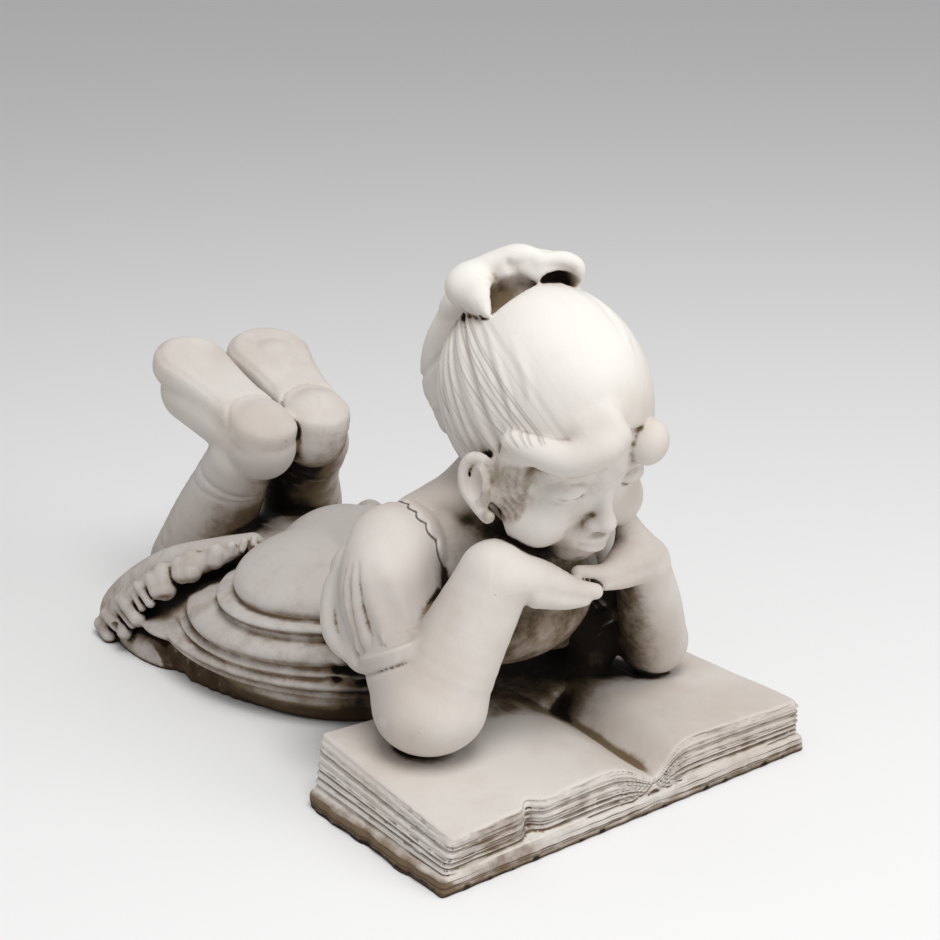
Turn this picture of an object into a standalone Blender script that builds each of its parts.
"""Reading girl garden statue: one cast stone piece, a girl lying on her front over an open book.

X runs to her left, -Y the way she faces and +Z up. The origin is the middle of the underside.
"""

import math

import bmesh
import bpy
import numpy as np
from mathutils import Euler, Matrix, Vector

# Driving sizes, in metres
FIGURE_HEIGHT = 0.294  # from the ground to the top of the bow
BOOK_WIDTH = 0.260
BOOK_DEPTH = 0.120
PAGE_HEIGHT = 0.036  # of the open pages, beside the gutter
GUTTER_HEIGHT = 0.018
GUTTER_FRONT = 0.06  # place of the gutter across the book, from its middle, as a share of the width
GUTTER_BACK = 0.105
COVER_THICK = 0.009
PAGE_INSET = 0.004  # the cover's edge beyond the pages
PAGE_SLOPE = 0.008  # lean of the left fore-edge, from the cover up
BURIED = 0.003  # of the book below the ground, cut off to leave a flat underside
ELBOW_MARGIN = 0.044  # from the book's back edge to the middle of the elbows

# The figure is laid out in units of its own height: 294 of them reach the top of the bow.
UNIT = FIGURE_HEIGHT / 294
ELBOWS = 76  # units from the front of the layout
PAGES = PAGE_HEIGHT / UNIT  # the elbows rest on the pages
CLAY_CELL = 3.1 * UNIT
SMOOTHING = 3
TRIANGLES = 8800
SIDES = (-1, 1)  # her right, her left
STONE = (0.68, 0.63, 0.57, 1.0)


def clear_scene():
    for thing in list(bpy.data.objects):
        bpy.data.objects.remove(thing, do_unlink=True)


def collection(name):
    made = bpy.data.collections.new(name)
    bpy.context.scene.collection.children.link(made)
    return made


def stone():
    """Weathered cast stone."""
    material = bpy.data.materials.new("cast_stone")
    material.use_nodes = True
    shader = material.node_tree.nodes["Principled BSDF"]
    shader.inputs["Base Color"].default_value = STONE
    shader.inputs["Roughness"].default_value = 0.85
    material.diffuse_color = STONE
    return material


def primitive(make, **sizes):
    """Corner places and faces of a unit shape."""
    shape = bmesh.new()
    make(shape, **sizes)
    corners = np.array([vert.co for vert in shape.verts])
    faces = [[vert.index for vert in face.verts] for face in shape.faces]
    shape.free()
    return corners, faces


BALL = primitive(bmesh.ops.create_uvsphere, u_segments=20, v_segments=12, radius=1)
DRUM = primitive(bmesh.ops.create_cone, cap_ends=True, segments=20, radius1=1, radius2=1, depth=1)


class Clay:
    """Overlapping rounded masses, in figure units, gathered in one mesh."""

    def __init__(self):
        self.corners = []
        self.faces = []

    def add(self, corners, faces):
        first = sum(len(group) for group in self.corners)
        self.corners.append(corners)
        self.faces += [[first + i for i in face] for face in faces]

    def ball(self, at, radii, turn=(0, 0, 0)):
        """An ellipsoid. The turn is in degrees about X, Y and Z."""
        angles = np.array(Euler([math.radians(a) for a in turn]).to_matrix())
        corners, faces = BALL
        self.add((corners * radii) @ angles.T + np.array(at), faces)

    def plate(self, at, radii, turn=(0, 0, 0)):
        """An oval disc: its two radii and its half thickness."""
        angles = np.array(Euler([math.radians(a) for a in turn]).to_matrix())
        corners, faces = DRUM
        self.add((corners * (radii[0], radii[1], 2 * radii[2])) @ angles.T + np.array(at), faces)

    def cone(self, start, end, radius_start, radius_end):
        along = Vector(end) - Vector(start)
        turned = np.array(along.to_track_quat("Z", "Y").to_matrix())
        corners, faces = DRUM
        share = corners[:, 2:] + 0.5
        width = radius_start + (radius_end - radius_start) * share
        shaped = np.hstack([corners[:, :2] * width, share * along.length])
        self.add(shaped @ turned.T + np.array(start), faces)

    def limb(self, points, radii, steps=4):
        """A round-ended tube along a smooth curve through the points."""
        path = smooth_path(np.column_stack([points, radii]), steps)
        for here, there in zip(path[:-1], path[1:]):
            self.cone(here[:3], there[:3], here[3], there[3])
        for x, y, z, radius in path:
            self.ball((x, y, z), (radius, radius, radius))

    def pair(self, at, radii, turn=(0, 0, 0)):
        """The same ellipsoid on both sides of the body."""
        for side in SIDES:
            self.ball((side * at[0], at[1], at[2]), radii, (turn[0], side * turn[1], side * turn[2]))

    def mesh(self, name, scale):
        made = bpy.data.meshes.new(name)
        made.from_pydata(np.vstack(self.corners) * scale, [], self.faces)
        return made


def smooth_path(points, steps):
    """Catmull-Rom curve through the rows of points."""
    points = np.asarray(points, float)
    ends = np.vstack([2 * points[0] - points[1], points, 2 * points[-1] - points[-2]])
    path = []
    for before, here, there, after in zip(ends[:-3], ends[1:-2], ends[2:-1], ends[3:]):
        for t in np.arange(steps) / steps:
            path.append(0.5 * (
                2 * here + (there - before) * t
                + (2 * before - 5 * here + 4 * there - after) * t ** 2
                + (3 * here - 3 * there + after - before) * t ** 3
            ))
    path.append(points[-1])
    return np.array(path)


def torso(clay):
    clay.limb([(0, 268, 46), (0, 215, 60), (0, 165, 78), (0, 122, 100)], [50, 48, 44, 44])
    clay.ball((0, 112, 98), (58, 44, 44))
    clay.ball((0, 176, 66), (66, 50, 44))
    clay.ball((0, 150, 20), (54, 60, 42))
    clay.ball((6, 140, 44), (60, 42, 58))
    clay.ball((40, 128, 60), (42, 40, 50))
    clay.pair((40, 128, 118), (34, 32, 34))
    clay.limb([(0, 128, 138), (0, 92, 178)], [30, 26])


# Rolled tiers of the skirt, from the seat down: middle and radii
TIERS = (
    ((-4, 236, 71), (87, 64, 24)),
    ((-4, 256, 44), (102, 94, 21)),
    ((-4, 280, 22), (104, 125, 16)),
)


def skirt(clay):
    """Rolled tiers fanning out to the hem, and the cloth between them and the ground."""
    for middle, radii in TIERS:
        clay.ball(middle, radii)
    clay.ball((-4, 262, 20), (92, 104, 46))
    clay.ball((-4, 285, 0), (94, 100, 24))
    clay.pair((38, 246, 68), (42, 44, 29))


# Middle of the ruffle on her right, from the seat to the ground
HEM = ((50, 286, 82), (78, 290, 80), (97, 306, 66), (106, 341, 40), (108, 372, 14))
HEM_SHIFT = (20, 12)  # on her left: farther back and lower


def hem(clay):
    """A pleated ruffle from the seat down to the ground on both sides, over an underskirt."""
    for side, (back, drop) in zip(SIDES, ((0, 0), HEM_SHIFT)):
        for i, (x, y, z) in enumerate(smooth_path(HEM, 3)[::2]):
            place = (side * x, y + back, max(6, z - drop))
            clay.ball(place, (10, 15, 9 + 3 * (i % 2)), (-30, 0, side * 20))
        under = [(56, 300, 74), (78, 318, 68), (92, 342, 53), (97, 376, 28)]
        clay.limb([(side * x, y + back / 2, z - drop) for x, y, z in under], [12, 12, 14, 14])
    clay.ball((-4, 330, 26), (94, 74, 46))
    clay.ball((-4, 348, 0), (98, 58, 30))
    clay.pair((97, 346, 2), (13, 38, 17))


# Of each leg: side, then how far from the middle the knee, ankle, heel and toe are
LEGS = ((-38, -33, -28, -37), (40, 24, 12, 24))
SOLE_TILT = 17  # degrees, toes up


def legs(clay):
    for knee, ankle, heel, toe in LEGS:
        shin = (knee + ankle) / 2
        clay.limb([(knee, 382, 34), (shin, 364, 68), (ankle, 349, 93), (ankle, 331, 118)], [31, 27, 24, 21])
        shoe(clay, heel, toe)


def shoe(clay, heel, toe):
    """A shoe with its sole up, toes back."""
    middle = (heel + toe) / 2
    turn = (SOLE_TILT, 0, math.degrees(math.atan2(heel - toe, 70)))
    clay.limb([(heel, 314, 132), (middle, 342, 142), (toe, 376, 153)], [20, 20, 20])
    clay.plate((middle, 344, 157), (20, 56, 6), turn)
    clay.plate((toe, 378, 167), (24, 26, 6), turn)
    clay.plate((heel, 307, 147), (20, 20, 7), turn)


def right_arm(clay):
    elbow = (-84, ELBOWS, PAGES + 25)
    clay.limb([elbow, (-92, 94, 86), (-68, 120, 127)], [26, 25, 27])
    clay.limb([elbow, (-70, 66, 98), (-50, 61, 133)], [26, 22, 16])


def left_arm(clay):
    elbow = (73, ELBOWS - 10, PAGES + 21)
    clay.limb([elbow, (75, 88, 80), (60, 112, 112)], [23, 22, 24])
    clay.limb([elbow, (66, 56, 84), (50, 50, 112)], [23, 20, 15])


def sleeves(clay):
    """Short puffed sleeves, each with a narrow cuff, and the collar."""
    clay.limb([(-90, 100, 98), (-84, 112, 116), (-66, 122, 130)], [28, 29, 27])
    clay.limb([(73, 96, 92), (67, 106, 106), (56, 116, 118)], [24, 25, 26])
    clay.cone((-90, 88, 78), (-91, 96, 88), 27, 28)
    clay.cone((75, 86, 76), (74, 93, 86), 23, 24)
    clay.ball((0, 130, 146), (48, 38, 15), (-28, 0, 0))


def hands(clay):
    """Her right hand under the chin, the left one at her cheek, fingers meeting in front."""
    clay.limb([(-50, 61, 133), (-40, 52, 136), (-22, 44, 128), (3, 35, 119)], [16, 14, 10, 6])
    clay.limb([(50, 50, 112), (44, 48, 130)], [15, 12])
    clay.limb([(48, 48, 118), (30, 40, 126), (8, 40, 127), (-8, 46, 127)], [13, 10, 8, 6])


# Her head: its middle, and how many degrees it nods forward
HEAD = Vector((2, 80, 211))
HEAD_NOD = 15


def on_head(across, forward, up):
    """A place in the head's own axes, from its middle."""
    return HEAD + Euler((math.radians(HEAD_NOD), 0, 0)).to_matrix() @ Vector((across, -forward, up))


def head(clay):
    nod = (HEAD_NOD, 0, 0)
    clay.ball(on_head(0, -2, 3), (51, 64, 59), nod)
    clay.ball(on_head(0, 16, -20), (44, 42, 48), nod)
    clay.ball(on_head(0, 40, -54), (17, 14, 14), nod)
    clay.limb([on_head(0, 55, -8), on_head(0, 60, -24)], [5, 6])
    clay.ball(on_head(0, 54, -42), (13, 6, 6), nod)
    for side in SIDES:
        clay.ball(on_head(side * 24, 34, -36), (20, 20, 18), nod)
        clay.ball(on_head(side * 48, 4, -24), (5, 12, 18), (HEAD_NOD, 0, side * 25))


def hair(clay):
    """A rolled fringe in two lobes, and a tail that hangs behind."""
    clay.limb([(-50, 56, 200), (-38, 36, 201), (-18, 22, 202), (-2, 18, 209)], [8, 11, 12, 11])
    clay.ball((20, 24, 203), (12, 11, 13))
    clay.limb([(3, 130, 254), (3, 154, 232), (3, 163, 204), (3, 158, 178)], [13, 17, 16, 9])


def bow(clay):
    clay.ball((-20, 112, 265), (17, 15, 16))
    clay.ball((20, 97, 276), (19, 13, 10), (0, -12, -20))
    clay.limb([(-14, 108, 274), (0, 94, 285), (16, 92, 283)], [9, 8, 8])
    clay.ball((0, 110, 260), (14, 14, 14))


def figure():
    clay = Clay()
    for piece in (torso, skirt, hem, legs, right_arm, left_arm, sleeves, hands, head, hair, bow):
        piece(clay)
    mesh = clay.mesh("figure", UNIT)
    mesh.transform(Matrix.Translation((0, BOOK_DEPTH - ELBOW_MARGIN - ELBOWS * UNIT, 0)))
    return mesh


def page_top(x, y):
    """Height of the pages over the ground, at shares x of the width and y of the depth."""
    gutter = GUTTER_FRONT + (GUTTER_BACK - GUTTER_FRONT) * y
    away = abs(x - gutter)
    hump = 1 - math.exp(-((away / 0.065) ** 1.6))
    if x < gutter:
        lift = 0.036 * max(0, away - 0.15) * y - 0.016 * away
    else:
        lift = -0.010 * away * y - 0.012 * away
    return GUTTER_HEIGHT + (PAGE_HEIGHT - GUTTER_HEIGHT) * hump + lift


def slab(width, depth, cuts, shape):
    """A box cut into a lattice whose corners are then moved by shape."""
    mesh = bmesh.new()
    bmesh.ops.create_cube(mesh, size=1)
    for axis, count in enumerate(cuts):
        for i in range(1, count):
            plane = Vector((0, 0, 0))
            plane[axis] = i / count - 0.5
            normal = Vector((0, 0, 0))
            normal[axis] = 1
            bmesh.ops.bisect_plane(
                mesh, geom=mesh.verts[:] + mesh.edges[:] + mesh.faces[:], plane_co=plane, plane_no=normal,
            )
    for vert in mesh.verts:
        x, y, z = vert.co.x, vert.co.y + 0.5, vert.co.z + 0.5
        vert.co = shape(x * width, y * depth, z)
    made = bpy.data.meshes.new("slab")
    mesh.to_mesh(made)
    mesh.free()
    return made


def cover_shape(x, y, z):
    dip = math.exp(-(((x / BOOK_WIDTH - GUTTER_FRONT) / 0.05) ** 2))
    top = COVER_THICK + 0.003 * math.sin(math.pi * abs(x) / BOOK_WIDTH * 2) * (1 - dip)
    return Vector((x, y, (top + BURIED) * z - BURIED))


def page_shape(x, y, z):
    side = x / BOOK_WIDTH
    top = page_top(side, y / BOOK_DEPTH)
    base = COVER_THICK * 0.7
    lean = PAGE_SLOPE * z * max(0, -side * 2) ** 8
    return Vector((x + lean, y, base + (top - base) * z))


def book():
    """The two cover boards and the page blocks that fall into the gutter."""
    cover = slab(BOOK_WIDTH, BOOK_DEPTH, (16, 2, 1), cover_shape)
    inner = BOOK_WIDTH - 2 * PAGE_INSET
    pages = slab(inner, BOOK_DEPTH - PAGE_INSET, (32, 6, 3), page_shape)
    pages.transform(Matrix.Translation((0, PAGE_INSET / 2, 0)))
    return cover, pages


def joined(meshes, name):
    """One object that holds every mesh."""
    gathered = bmesh.new()
    for mesh in meshes:
        gathered.from_mesh(mesh)
    whole = bpy.data.meshes.new(name)
    gathered.to_mesh(whole)
    gathered.free()
    return bpy.data.objects.new(name, whole)


def applied(thing):
    """The object's mesh with its modifiers on, kept to its largest body."""
    graph = bpy.context.evaluated_depsgraph_get()
    mesh = bpy.data.meshes.new_from_object(thing.evaluated_get(graph))
    shell = bmesh.new()
    shell.from_mesh(mesh)
    left = set(shell.verts)
    bodies = []
    while left:
        body = {left.pop()}
        edge = list(body)
        while edge:
            near = {e.other_vert(v) for v in edge for e in v.link_edges} - body
            body |= near
            edge = list(near)
        left -= body
        bodies.append(body)
    largest = max(bodies, key=len)
    stray = [v for v in shell.verts if v not in largest]
    bmesh.ops.delete(shell, geom=stray, context="VERTS")
    shell.to_mesh(mesh)
    shell.free()
    return mesh


def statue():
    """The figure and the book run into one body, as in one mould, cut flat below."""
    home = collection("reading_girl_statue")
    guides = collection("cutters")
    rough = joined([figure(), *book()], "rough")
    home.objects.link(rough)
    remesh = rough.modifiers.new("one_body", "REMESH")
    remesh.mode = "VOXEL"
    remesh.voxel_size = CLAY_CELL
    remesh.adaptivity = 0
    soften = rough.modifiers.new("soften", "SMOOTH")
    soften.factor = 0.5
    soften.iterations = SMOOTHING
    mesh = applied(rough)
    bpy.data.objects.remove(rough, do_unlink=True)
    girl = bpy.data.objects.new("reading_girl", mesh)
    home.objects.link(girl)
    girl.data.materials.append(stone())
    reduce = girl.modifiers.new("reduce", "DECIMATE")
    reduce.ratio = TRIANGLES / (2 * len(mesh.polygons))
    ground = ground_cutter(guides)
    flat = girl.modifiers.new("flat_underside", "BOOLEAN")
    flat.operation = "DIFFERENCE"
    flat.solver = "EXACT"
    flat.object = ground
    centre(girl, ground)
    return girl


def ground_cutter(guides):
    """A box under the ground plane."""
    mesh = bpy.data.meshes.new("ground_cutter")
    box = bmesh.new()
    bmesh.ops.create_cube(box, size=1)
    box.to_mesh(mesh)
    box.free()
    cutter = bpy.data.objects.new("ground_cutter", mesh)
    cutter.scale = (2, 2, 0.2)
    cutter.location = (0, 0, -0.1)
    cutter.hide_render = True
    cutter.display_type = "WIRE"
    guides.objects.link(cutter)
    return cutter


def centre(girl, cutter):
    """Moves the statue so that its box is centred over the origin and stands on z = 0."""
    bpy.context.view_layer.update()
    graph = bpy.context.evaluated_depsgraph_get()
    mesh = girl.evaluated_get(graph).to_mesh()
    points = np.array([vert.co for vert in mesh.vertices])
    low, high = points.min(axis=0), points.max(axis=0)
    shift = Vector((-(low[0] + high[0]) / 2, -(low[1] + high[1]) / 2, -low[2]))
    girl.location += shift
    cutter.location += shift


clear_scene()
statue()
